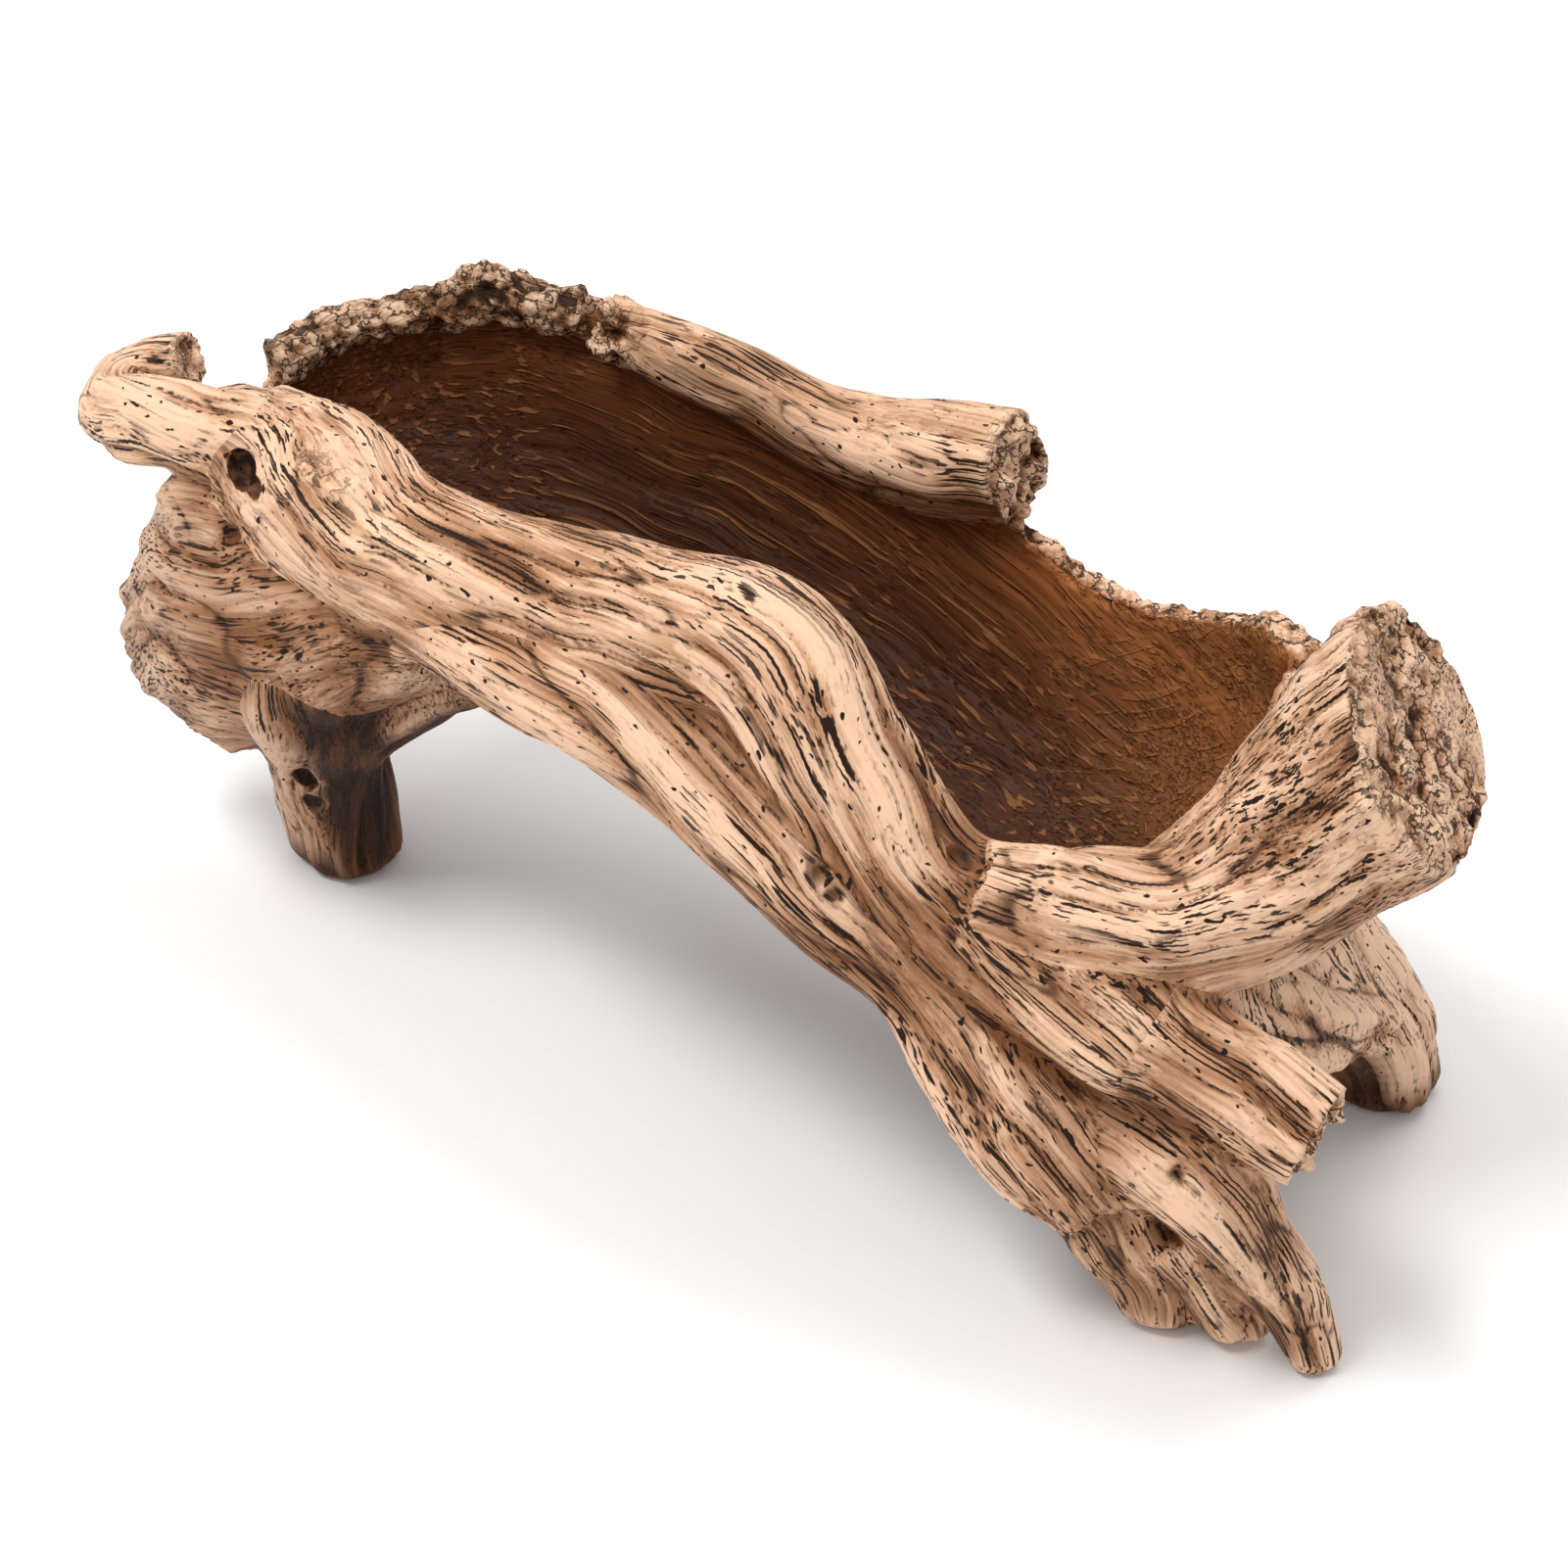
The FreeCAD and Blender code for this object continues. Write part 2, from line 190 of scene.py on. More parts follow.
# Twist of the grain round each strand, in degrees for every 100 mm of its length.
TWIST = {
    "crest_root": 60, "hook_knot": 100, "lower_root": 40, "sawn_log": 50, "rim_branch": 30, "left_foot": 50,
    "rear_foot": 40, "long_toe": 50, "short_toe": 50, "snapped_branch": 40, "root_flare": 0,
}
# Knot holes and craters: x, y, z, radius.
PITS = [
    (-110, -16.5, 107, 3.2), (-105, -18, 105.5, 2.2), (31, -43.5, 86.5, 2.0), (34.5, -44, 84, 1.7),
    (-101.5, -18, 35, 2.6), (-101.5, -16.5, 26, 2.2), (53, -31, 92, 1.8), (104.5, 20.5, 45.5, 2.0),
    (103.5, -44, 49, 1.8), (-113.5, -18, 91.5, 2.0),
]
# Where the rim branch covers the ragged rim, and where its rough left end fades out.
RIM_BRANCH_LEFT = (-76, -70)
RIM_BRANCH_RIGHT = (18, 10)
RIM_BRANCH_FADE = (2.0, 16.0)
# The heights between which the painted shade on the undersides begins, and the heights over which the legs
# turn darker near the ground.
SHADED_BELOW = (84, 66)
GROUND_DARKENING = (12, 2)
# The middle of the cave, which the undersides painted with shade look towards.
CAVE_MIDDLE = np.array([-5.0, 12.0, 28.0])
STUBS = [line[-1] for lines in STRANDS.values() for line in lines if len(line) == 2]
KNOTS = PITS + STUBS


# ---------------------------------------------------------------- noise

_RANDOM = np.random.default_rng(7)
GRADIENTS = _RANDOM.normal(size=(64, 3))
GRADIENTS = (GRADIENTS / np.linalg.norm(GRADIENTS, axis=1)[:, None]).astype(np.float32)


def noise(points, seed=0):
    """Gradient noise, about -1 to 1, for an array of points."""
    cell = np.floor(points)
    local = (points - cell).astype(np.float32)
    cell = cell.astype(np.int64)
    fade = local * local * local * (local * (local * 6 - 15) + 10)
    total = np.zeros(len(points), np.float32)
    for corner in range(8):
        step = np.array([corner & 1, corner >> 1 & 1, corner >> 2 & 1])
        at = cell + step
        code = at[:, 0] * 73856093 ^ at[:, 1] * 19349663 ^ at[:, 2] * 83492791 ^ (seed * 2654435 + 97)
        code = (code ^ code >> 13) * 1274126177
        gradient = GRADIENTS[(code ^ code >> 16) & 63]
        weight = np.prod(np.where(step, fade, 1 - fade), axis=1)
        total += weight * np.einsum("ij,ij->i", gradient, local - step.astype(np.float32))
    return total * 1.6


def wander(grain, points):
    """Let the grain drift sideways, the same way for every piece, so that joints match."""
    grain[:, 1] += WANDER * noise(points / WANDER_SIZE, 501)
    grain[:, 2] += WANDER * noise(points / WANDER_SIZE, 502)


def smooth_step(low, high, value):
    part = np.clip((value - low) / (high - low), 0, 1)
    return part * part * (3 - 2 * part)


def smooth_min(a, b, k):
    mix = np.maximum(k - np.abs(a - b), 0)
    return np.minimum(a, b) - mix * mix / (4 * k)


def smooth_max(a, b, k):
    return -smooth_min(-a, -b, k)


# ---------------------------------------------------------------- strands

def curve_through(points, spacing=1.5):
    """Points of a Catmull-Rom curve through the stations, about evenly spaced."""
    stations = np.array(points, float)
    ends = np.vstack([2 * stations[0] - stations[1], stations, 2 * stations[-1] - stations[-2]])
    samples = []
    for p0, p1, p2, p3 in zip(ends, ends[1:], ends[2:], ends[3:]):
        steps = max(2, round(np.linalg.norm((p2 - p1)[:3]) / spacing))
        for u in np.arange(steps) / steps:
            even = 2 * p1 + (p2 - p0) * u
            curved = (2 * p0 - 5 * p1 + 4 * p2 - p3) * u * u + (3 * p1 - p0 - 3 * p2 + p3) * u ** 3
            samples.append((even + curved) / 2)
    samples.append(stations[-1])
    return np.array(samples)


class Strand:
    """One root: its middle line with a radius, and a frame along it that twists with the grain."""

    def __init__(self, node, points):
        samples = curve_through(points)
        self.centre = samples[:, :3]
        self.across = samples[:, 3]
        self.upright = samples[:, -1]
        step = np.diff(self.centre, axis=0)
        self.arc = np.concatenate([[0], np.cumsum(np.linalg.norm(step, axis=1))])
        tangent = np.gradient(self.centre, axis=0)
        self.tangent = tangent / np.linalg.norm(tangent, axis=1)[:, None]
        side = np.cross(self.tangent[0], (0.0, 0.0, 1.0))
        if np.linalg.norm(side) < 0.3:
            side = np.cross(self.tangent[0], (1.0, 0.0, 0.0))
        sides = []
        for along in self.tangent:
            side = side - along * side.dot(along)
            side = side / np.linalg.norm(side)
            sides.append(side)
        over = np.cross(self.tangent, np.array(sides))
        turn = np.radians(TWIST.get(node, 0)) * self.arc / 100
        cos, sin = np.cos(turn)[:, None], np.sin(turn)[:, None]
        self.side = np.array(sides) * cos + over * sin
        self.over = over * cos - np.array(sides) * sin
        reach = np.maximum(self.across, self.upright)[:, None] + FAR
        self.low = (self.centre - reach).min(axis=0)
        self.high = (self.centre + reach).max(axis=0)
        self.rough_end = node in BROKEN_END or len(points) == 2
        facing = np.array(END_FACING.get(node, self.tangent[-1]))
        self.facing = (-self.tangent[0], facing / np.linalg.norm(facing))

    def end_face(self, points):
        """1 on the face that the strand ends in, and 0 on its sides."""
        away = points - self.centre[-1]
        past = away @ self.facing[1]
        near = np.linalg.norm(away, axis=1) / self.across[-1]
        return smooth_step(-1.3, -0.4, past) * (1 - smooth_step(1.3, 1.6, near))

    def place(self, points):
        """Each point's place along the strand and across it, and its distance from the surface."""
        nearest = np.empty(len(points), int)
        for start in range(0, len(points), CHUNK):
            block = points[start:start + CHUNK, None, :] - self.centre[None, :, :]
            nearest[start:start + CHUNK] = np.einsum("ijk,ijk->ij", block, block).argmin(axis=1)
        away = points - self.centre[nearest]
        along = np.einsum("ij,ij->i", away, self.tangent[nearest])
        side = np.einsum("ij,ij->i", away, self.side[nearest])
        over = np.einsum("ij,ij->i", away, self.over[nearest])
        place = self.arc[nearest] + along
        beyond = np.maximum(-place, place - self.arc[-1])
        distance = np.maximum(np.hypot(side, over) - self.across[nearest], beyond)
        return np.stack([place, side, over], axis=1), distance

    def grain(self, points):
        """The place in the wood's grain, which wanders a little and parts round knots."""
        grain, distance = self.place(points)
        for knot in KNOTS:
            centre = np.array(knot[:3], float)
            if np.any(centre < self.low) or np.any(centre > self.high):
                continue
            middle = self.place(centre[None])[0][0]
            away = grain - middle
            spread = np.einsum("ij,ij->i", away * (0.6, 1, 1), away * (0.6, 1, 1))
            part = np.clip(1 - 0.6 * knot[3] ** 2 / np.maximum(spread, 1e-6), 0.5, 1)
            grain[:, 1:] = middle[1:] + away[:, 1:] * part[:, None]
        wander(grain, points)
        return grain, distance


# ---------------------------------------------------------------- fields

class Grid:
    """The block of space that the ornament is worked out in."""

    def __init__(self, low, high):
        self.low = np.floor(np.array(low) / VOXEL) * VOXEL
        self.shape = tuple(np.ceil((np.array(high) - self.low) / VOXEL).astype(int) + 1)

    def window(self, low, high):
        """Index slices that cover a box, kept inside the grid."""
        first = np.clip(np.floor((low - self.low) / VOXEL).astype(int), 0, np.array(self.shape) - 1)
        last = np.clip(np.ceil((high - self.low) / VOXEL).astype(int) + 1, 1, np.array(self.shape))
        return tuple(slice(a, b) for a, b in zip(first, last))

    def axes(self, window):
        """Open coordinate arrays of a window, in layout millimetres."""
        lines = [self.low[i] + VOXEL * np.arange(window[i].start, window[i].stop) for i in range(3)]
        return (
            lines[0][:, None, None].astype(np.float32),
            lines[1][None, :, None].astype(np.float32),
            lines[2][None, None, :].astype(np.float32),
        )


def overlap_of(one, other):
    """The window that two windows share; a slice that stops before it starts where they miss."""
    return tuple(slice(max(a.start, b.start), min(a.stop, b.stop)) for a, b in zip(one, other))


def within(part, window):
    """A window's slices, counted from the start of the window that holds it."""
    return tuple(slice(p.start - w.start, p.stop - w.start) for p, w in zip(part, window))


def oval_distance(y, z, across, upright):
    """About how far a point is outside an upright oval, negative inside."""
    ring = np.sqrt((y / across) ** 2 + (z / upright) ** 2) + 1e-6
    slope = np.sqrt((y / across ** 2) ** 2 + (z / upright ** 2) ** 2) + 1e-6
    return ring * (ring - 1) / slope


def oval_field(x, y, z, stations, skin=0.0):
    """Distance to a log of upright ovals along X, with flat ends, a skin fatter and longer."""
    table = np.array(stations, float)
    start, end = table[0, 0] - skin, table[-1, 0] + skin
    keys = table[:, 0].copy()
    keys[0], keys[-1] = start, end
    line = x[:, 0, 0]
    row = [soft_interpolation(line, keys, table[:, i])[:, None, None] for i in range(1, 5)]
    field = oval_distance(y - row[0], z - row[1], row[2] + skin, row[3] + skin)
    field = smooth_max(field, start - x, 3.0)
    return smooth_max(field, x - end, 3.0).astype(np.float32)


def soft_interpolation(x, keys, values):
    """A smooth curve through the stations, held level past both ends."""
    slopes = np.gradient(values, keys)
    x = np.clip(x, keys[0], keys[-1])
    cell = np.clip(np.searchsorted(keys, x) - 1, 0, len(keys) - 2)
    width = keys[cell + 1] - keys[cell]
    u = (x - keys[cell]) / width
    rise = (2 * u ** 3 - 3 * u ** 2 + 1) * values[cell] + (3 * u ** 2 - 2 * u ** 3) * values[cell + 1]
    lean = (u ** 3 - 2 * u ** 2 + u) * slopes[cell] + (u ** 3 - u ** 2) * slopes[cell + 1]
    return rise + lean * width


def strand_field(grid, strand, window):
    """Distance to one strand in a window, with its two ends cut flat."""
    shape = tuple(w.stop - w.start for w in window)
    field = np.full(shape, FAR, np.float32)
    count = len(strand.centre)
    for start in range(0, count - 1, 2):
        end = min(start + 2, count - 1)
        a, b = strand.centre[start], strand.centre[end]
        radii = strand.across[start], strand.across[end]
        reach = max(radii) + FAR
        part = grid.window(np.minimum(a, b) - reach, np.maximum(a, b) + reach)
        part = overlap_of(part, window)
        if any(p.stop <= p.start for p in part):
            continue
        x, y, z = grid.axes(part)
        x, y, z = x - a[0], y - a[1], z - a[2]
        run = b - a
        t = np.clip((x * run[0] + y * run[1] + z * run[2]) / run.dot(run), 0, 1)
        away = np.sqrt((x - t * run[0]) ** 2 + (y - t * run[1]) ** 2 + (z - t * run[2]) ** 2)
        away -= radii[0] + t * (radii[1] - radii[0])
        local = within(part, window)
        field[local] = np.minimum(field[local], away)
    x, y, z = grid.axes(window)
    for at, along in ((0, strand.facing[0]), (-1, strand.facing[1])):
        centre = strand.centre[at]
        past = (x - centre[0]) * along[0] + (y - centre[1]) * along[1] + (z - centre[2]) * along[2]
        away = np.sqrt((x - centre[0]) ** 2 + (y - centre[1]) ** 2 + (z - centre[2]) ** 2)
        near = away < strand.across[at] * CAP_REACH
        field = np.where(near, smooth_max(field, past, 1.0), field)
    return field.astype(np.float32)


def rim_height(x, y):
    """The height of the trough's top edge, ragged along the back."""
    rough = np.stack([x / 5.5, x * 0, x * 0], axis=1)
    ragged = 1.5 * noise(rough, 11) + 0.8 * noise(rough * 2.7, 12)
    back = np.interp(x, *zip(*BACK_RIM)) + ragged
    front = np.interp(x, *zip(*FRONT_RIM))
    side = smooth_step(RIM_SPLIT_Y - 6, RIM_SPLIT_Y + 6, y)
    return front, back, side


def rim_field(x, y, z):
    """How far a point of the grid is above the trough's ragged rim."""
    front, back, side = rim_height(x[:, 0, 0], y)
    return z - (front[:, None, None] * (1 - side) + back[:, None, None] * side)


def blurred(field, reach):
    """A field averaged over a cube of 2 * reach + 1 cells."""
    for axis in range(3):
        before = np.repeat(field.take([0], axis), reach + 1, axis)
        after = np.repeat(field.take([-1], axis), reach, axis)
        padded = np.concatenate([before, field, after], axis)
        total = np.cumsum(padded, axis=axis, dtype=np.float64)
        size = field.shape[axis]
        span = 2 * reach + 1
        upper = total.take(np.arange(span, span + size), axis)
        lower = total.take(np.arange(0, size), axis)
        field = ((upper - lower) / span).astype(np.float32)
    return field


class Form:
    """The whole ornament as one blended field, and each piece's own field for dividing it."""

    def __init__(self):
        self.strands = {node: [Strand(node, line) for line in lines] for node, lines in STRANDS.items()}
        everyone = [strand for group in self.strands.values() for strand in group]
        shell = np.array(HOLLOW, float)
        low = np.min([strand.low for strand in everyone], axis=0)
        high = np.max([strand.high for strand in everyone], axis=0)
        low[2] = -2.0
        self.grid = Grid(low, high)
        self.solid = np.full(self.grid.shape, FAR, np.float32)
        self.first = np.full(self.grid.shape, FAR, np.float32)
        self.second = np.full(self.grid.shape, FAR, np.float32)
        self.owner = np.full(self.grid.shape, -1, np.int8)
        self.own = {}
        self.names = ["trough_shell"] + list(STRANDS)
        reach = shell[:, 3:5].max() + WALL + 4
        left, right = shell[0, 0] - WALL - 4, shell[-1, 0] + WALL + 4
        box_low = np.array([left, shell[:, 1].min() - reach, shell[:, 2].min() - reach - 8])
        box_high = np.array([right, shell[:, 1].max() + reach, 122.0])
        self.hollow_window = self.grid.window(box_low, box_high)
        x, y, z = self.grid.axes(self.hollow_window)
        self.hollow = oval_field(x, y, z, HOLLOW)
        self.add("trough_shell", self.hollow_window, self.trough(x, y, z))
        for node, group in self.strands.items():
            self.add(node, *self.root(node, group))
        for pit in PITS:
            self.dig(pit)
        x, y, z = self.grid.axes(tuple(slice(0, size) for size in self.grid.shape))
        self.solid = smooth_max(self.solid, -z, GROUND_ROUNDING)
        # How full the form is round each point, lower in hollows and creases; the paint uses it for darker
        # hollows, partly the paint's wash and partly painted shade.
        self.fullness = blurred(self.solid, max(1, round(4.0 / VOXEL)))

    def dig(self, pit):
        """Sink a ragged hole into the blended form."""
        centre, radius = np.array(pit[:3], float), pit[3]
        window = self.grid.window(centre - radius - 4, centre + radius + 4)
        x, y, z = self.grid.axes(window)
        away = np.sqrt((x - centre[0]) ** 2 + (y - centre[1]) ** 2 + (z - centre[2]) ** 2)
        cells = np.stack(np.broadcast_arrays(x, y, z), axis=-1).reshape(-1, 3)
        ragged = noise(cells / 4.0, 71).reshape(away.shape)
        hole = away - radius * (1 + 0.35 * ragged)
        self.solid[window] = smooth_max(self.solid[window], -hole, 1.5)

    def trough(self, x, y, z):
        outside = oval_field(x, y, z, HOLLOW, WALL)
        wall = smooth_max(outside, -self.hollow, LIP)
        return smooth_max(wall, rim_field(x, y, z), LIP)

    def root(self, node, group):
        low = np.min([strand.low for strand in group], axis=0)
        high = np.max([strand.high for strand in group], axis=0)
        window = self.grid.window(low, high)
        field = None
        for strand in group:
            if np.array_equal(strand.across, strand.upright):
                part = strand_field(self.grid, strand, window)
            else:
                x, y, z = self.grid.axes(window)
                part = oval_field(x, y, z, STRANDS[node][0])
            field = part if field is None else smooth_min(field, part, BLEND)
        if node in CARVED:
            shared = overlap_of(window, self.hollow_window)
            if all(part.stop > part.start for part in shared):
                here = within(shared, window)
                there = within(shared, self.hollow_window)
                field[here] = smooth_max(field[here], -self.hollow[there], LIP)
        return window, field

    def add(self, node, window, field):
        number = self.names.index(node)
        field = np.minimum(field, FAR)
        self.own[node] = (window, field)
        self.solid[window] = smooth_min(self.solid[window], field, SHARP_JOINTS.get(node, BLEND))
        first, second, owner = self.first[window], self.second[window], self.owner[window]
        nearer = field < first
        self.second[window] = np.where(nearer, first, np.minimum(second, field))
        self.first[window] = np.where(nearer, field, first)
        self.owner[window] = np.where(nearer, number, owner)

    def share(self, node):
        """The part of the blended form that belongs to one piece: its window and field."""
        number = self.names.index(node)
        window, field = self.own[node]
        other = np.where(self.owner[window] == number, self.second[window], self.first[window])
        past = (field - other) / 2
        dip = 0.4 * np.clip(past + 0.1, 0, 2)
        return window, np.maximum(self.solid[window] + dip, past - OVERLAP)

    def sample(self, field, points):
        """A field's value at layout points, blended between cells."""
        place = (points - self.grid.low) / VOXEL
        cell = np.clip(np.floor(place).astype(int), 0, np.array(self.grid.shape) - 2)
        part = np.clip(place - cell, 0, 1)
        value = 0
        for corner in range(8):
            step = np.array([corner & 1, corner >> 1 & 1, corner >> 2 & 1])
            weight = np.prod(np.where(step, part, 1 - part), axis=1)
            at = cell + step
            value = value + weight * field[at[:, 0], at[:, 1], at[:, 2]]
        return value

    def outward(self, points):
        """The direction straight out of the blended form."""
        slope = np.empty_like(points)
        for axis in range(3):
            step = np.zeros(3)
            step[axis] = VOXEL
            slope[:, axis] = self.sample(self.solid, points + step) - self.sample(self.solid, points - step)
        return slope / np.maximum(np.linalg.norm(slope, axis=1), 1e-6)[:, None]


# ---------------------------------------------------------------- carving

def root_relief(grain, seed):
    """Carved grain on a root: its height in millimetres, and how deep in a groove each point is."""
    folds = np.abs(noise(grain / (95, 12, 12), seed))
    ridges = np.abs(noise(grain / (60, 5.5, 5.5), seed + 1))
    fibres = np.abs(noise(grain / (40, 2.4, 2.4), seed + 3))
    lumps = noise(grain / (30, 15, 15), seed + 2)
    height = 5.0 * (np.minimum(folds, 0.45) - 0.25) + 2.0 * (np.minimum(ridges, 0.35) - 0.2)
    height += 0.8 * (np.minimum(fibres, 0.3) - 0.2) + 1.3 * lumps
    creases = np.maximum(1 - smooth_step(0.0, 0.055, folds), 0.8 * (1 - smooth_step(0.0, 0.05, ridges)))
    return height, np.maximum(creases, 0.45 * (1 - smooth_step(0.0, 0.10, fibres)))


def log_relief(grain, seed):
    """Gouges that run the length of the hollow log, inside and out."""
    folds = np.abs(noise(grain / (90, 8, 8), seed))
    ridges = np.abs(noise(grain / (60, 3.0, 3.0), seed + 1))
    lumps = noise(grain / (40, 18, 18), seed + 2)
    height = 1.0 * (np.minimum(folds, 0.3) - 0.2) + 0.9 * (np.minimum(ridges, 0.35) - 0.2) + 0.9 * lumps
    return height, 0.6 * np.maximum(1 - smooth_step(0.0, 0.05, folds), 1 - smooth_step(0.0, 0.08, ridges))


def rough_relief(points):
    """Broken wood and bark: chunky lumps with dark pits between them."""
    chunks = 0.9 * noise(points / 7.0, 92) + 0.9 * noise(points / 3.2, 90) + 0.45 * noise(points / 1.7, 91)
    return 1.5 * chunks - 0.8, smooth_step(0.15, 0.75, -chunks)


class Carver:
    """Works out the relief at any point as a mix of the strands near it, so that joints match."""

    def __init__(self, form):
        self.form = form
        self.keys = np.array(HOLLOW, float)

    def shell_grain(self, points):
        """The place in the hollow log's grain, which runs downhill towards the right end."""
        line = points[:, 0]
        rows = [soft_interpolation(line, self.keys[:, 0], self.keys[:, i]) for i in range(1, 5)]
        y, z = points[:, 1] - rows[0], points[:, 2] - rows[1]
        outside = oval_distance(y, z, rows[2] + WALL, rows[3] + WALL)
        inside = oval_distance(y, z, rows[2], rows[3])
        downhill = 0.13 * (np.hypot(line + 25, 30) + line + 25)
        grain = np.stack([line, y, z + downhill], axis=1)
        wander(grain, points)
        return grain, np.maximum(outside, -inside)

    def below_rim(self, points):
        """1 below the rim, and 0 from a little above it."""
        front, back, side = rim_height(points[:, 0], points[:, 1])
        rim = (front + 6) * (1 - side) + back * side
        return 1 - smooth_step(-1.0, 3.0, points[:, 2] - rim)

    def broken_edge(self, points):
        """1 on the ragged top edge of the hollow log's back wall."""
        back, side = rim_height(points[:, 0], points[:, 1])[1:]
        branch = smooth_step(*RIM_BRANCH_LEFT, points[:, 0]) * smooth_step(*RIM_BRANCH_RIGHT, points[:, 0])
        return side * smooth_step(-3.0, -0.8, points[:, 2] - back) * (1 - branch)

    def relief(self, points):
        """Height, groove and roughness at each point."""
        total = np.zeros((3, len(points)))
        weight = np.zeros(len(points))
        grain, distance = self.shell_grain(points)
        reach = [("trough_shell", None, grain, distance)]
        for node, group in self.form.strands.items():
            for strand in group:
                near = np.all((points > strand.low - 2) & (points < strand.high + 2), axis=1)
                if not near.any():
                    continue
                grain = np.zeros((len(points), 3))
                distance = np.full(len(points), FAR)
                grain[near], distance[near] = strand.grain(points[near])
                reach.append((node, strand, grain, distance))
        closest = np.min([entry[3] for entry in reach], axis=0)
        chunks, pits = rough_relief(points)
        hollow = smooth_step(-1.0, 1.5, -oval_at(self, points)) * self.below_rim(points)
        for node, strand, grain, distance in reach:
            share = np.exp(-np.clip((distance - closest) / GRAIN_BLEND, 0, 12))
            share = share if strand is None else share * (1 - hollow * (node in HIDDEN_IN_HOLLOW))
            touched = share > 0.03
            if not touched.any():
                continue
            seed = 20 * self.form.names.index(node) + 3
            carve = log_relief if strand is None else root_relief
            height, groove = carve(grain[touched], seed)
            if strand is None:
                rough = self.broken_edge(points[touched])
            elif strand.rough_end:
                rough = strand.end_face(points[touched])
            else:
                rough = np.full(len(height), float(node in ROUGH_ALL_OVER))
            if node == "rim_branch":
                rough = np.maximum(rough, 1 - smooth_step(*RIM_BRANCH_FADE, grain[touched, 0]))
            height = height * (1 - rough) + chunks[touched] * rough * (JAG if node in JAGGED_END else 1.0)
            groove = groove * (1 - rough) + pits[touched] * rough
            total[:, touched] += share[touched] * np.stack([height, groove, rough])
            weight[touched] += share[touched]
        height, groove, rough = total / np.maximum(weight, 1e-6)
        for pit in PITS:
            away = np.linalg.norm(points - np.array(pit[:3]), axis=1) / pit[3]
            ragged = away + 0.35 * noise(points / 2.2, 77)
            groove = np.maximum(groove, 1.6 - 1.6 * smooth_step(0.7, 1.5, ragged))
        return height, groove, rough


# ---------------------------------------------------------------- meshes

def mesh_piece(form, carver, node):
    """One closed mesh: the piece's share of the form, carved, with the values its paint needs."""
    window, field = form.share(node)
    border = np.pad(np.clip(field, -3, 3), 1, constant_values=3.0)
    volume = openvdb.FloatGrid(background=3.0)
    volume.copyFromArray(np.ascontiguousarray(border, dtype=np.float32))
    corners, quads = volume.convertToQuads(isovalue=0.0)
    start = np.array([w.start for w in window]) - 1
    points = form.grid.low + VOXEL * (corners + start)
    skin = 1 - smooth_step(0.3, 2.0, np.abs(form.sample(form.solid, points)))
    outward = form.outward(points)
    height, groove, rough = carver.relief(points)
    fullness = form.sample(form.fullness, points)
    flat_sole = smooth_step(0.3, 2.5, points[:, 2])
    carved = points + outward * (height * skin * flat_sole)[:, None]
    carved[:, 2] = np.maximum(carved[:, 2], 0)
    if node == "trough_shell":
        grain = carver.shell_grain(points)[0]
    else:
        grain = form.strands[node][0].grain(points)[0]
    mesh = bpy.data.meshes.new(node)
    write_mesh(mesh, (carved + ORIGIN) * MM, quads)
    inside = smooth_step(-1.0, 1.5, -oval_at(carver, points)) * carver.below_rim(points)
    if node in RIM_TOPPERS:
        inside = inside * 0
    # Painted shade over some darker paint: low surfaces that face the cave and face back or down, the
    # shaded sides in DARK_SIDES, and those legs darker near the ground.
    towards = CAVE_MIDDLE - points
    towards /= np.linalg.norm(towards, axis=1)[:, None]
    low_down = smooth_step(*SHADED_BELOW, points[:, 2])
    hidden = np.maximum(smooth_step(-0.1, 0.35, outward[:, 1]), smooth_step(0.35, 0.65, -outward[:, 2]))
    under = smooth_step(0.25, 0.75, np.einsum("ij,ij->i", outward, towards)) * low_down * hidden
    if node in DARK_SIDES:
        side = smooth_step(-0.35, 0.15, outward @ np.array(DARK_SIDES[node]))
        under = np.maximum(under, np.maximum(side, smooth_step(*GROUND_DARKENING, points[:, 2])) * low_down)
    write_values(mesh, "grain", grain)
    write_values(mesh, "rough", rough)
    write_values(mesh, "under", under)
    write_values(mesh, "groove", groove)
    write_values(mesh, "height", height)
    write_values(mesh, "fullness", fullness)
    write_values(mesh, "inside", inside)
    return mesh


def oval_at(carver, points):
    keys = carver.keys
    rows = [soft_interpolation(points[:, 0], keys[:, 0], keys[:, i]) for i in range(1, 5)]
    round_it = oval_distance(points[:, 1] - rows[0], points[:, 2] - rows[1], rows[2] + 1.5, rows[3] + 1.5)
    past_end = np.maximum(keys[0, 0] - points[:, 0], points[:, 0] - keys[-1, 0]) - 1.5
    return np.maximum(round_it, past_end)


def write_mesh(mesh, points, quads):
    """Fill a mesh with points and four-sided faces that look outwards."""
    a, b, c, d = (points[quads[:, i]] for i in range(4))
    volume = np.einsum("ij,ij->i", a, np.cross(b, c)).sum() + np.einsum("ij,ij->i", a, np.cross(c, d)).sum()
    if volume < 0:
        quads = quads[:, ::-1]
    mesh.vertices.add(len(points))
    mesh.vertices.foreach_set("co", np.ascontiguousarray(points, np.float32).ravel())
    mesh.loops.add(quads.size)
    mesh.loops.foreach_set("vertex_index", np.ascontiguousarray(quads, np.int32).ravel())
    mesh.polygons.add(len(quads))
    mesh.polygons.foreach_set("loop_start", np.arange(0, quads.size, 4, dtype=np.int32))
    mesh.polygons.foreach_set("use_smooth", np.ones(len(quads), bool))
    mesh.update(calc_edges=True)
    mesh.validate()


def write_values(mesh, name, values):
    kind = "FLOAT_VECTOR" if values.ndim == 2 else "FLOAT"
    attribute = mesh.attributes.new(name, kind, "POINT")
    key = "vector" if values.ndim == 2 else "value"
    attribute.data.foreach_set(key, np.ascontiguousarray(values, np.float32).ravel())


# ---------------------------------------------------------------- paint

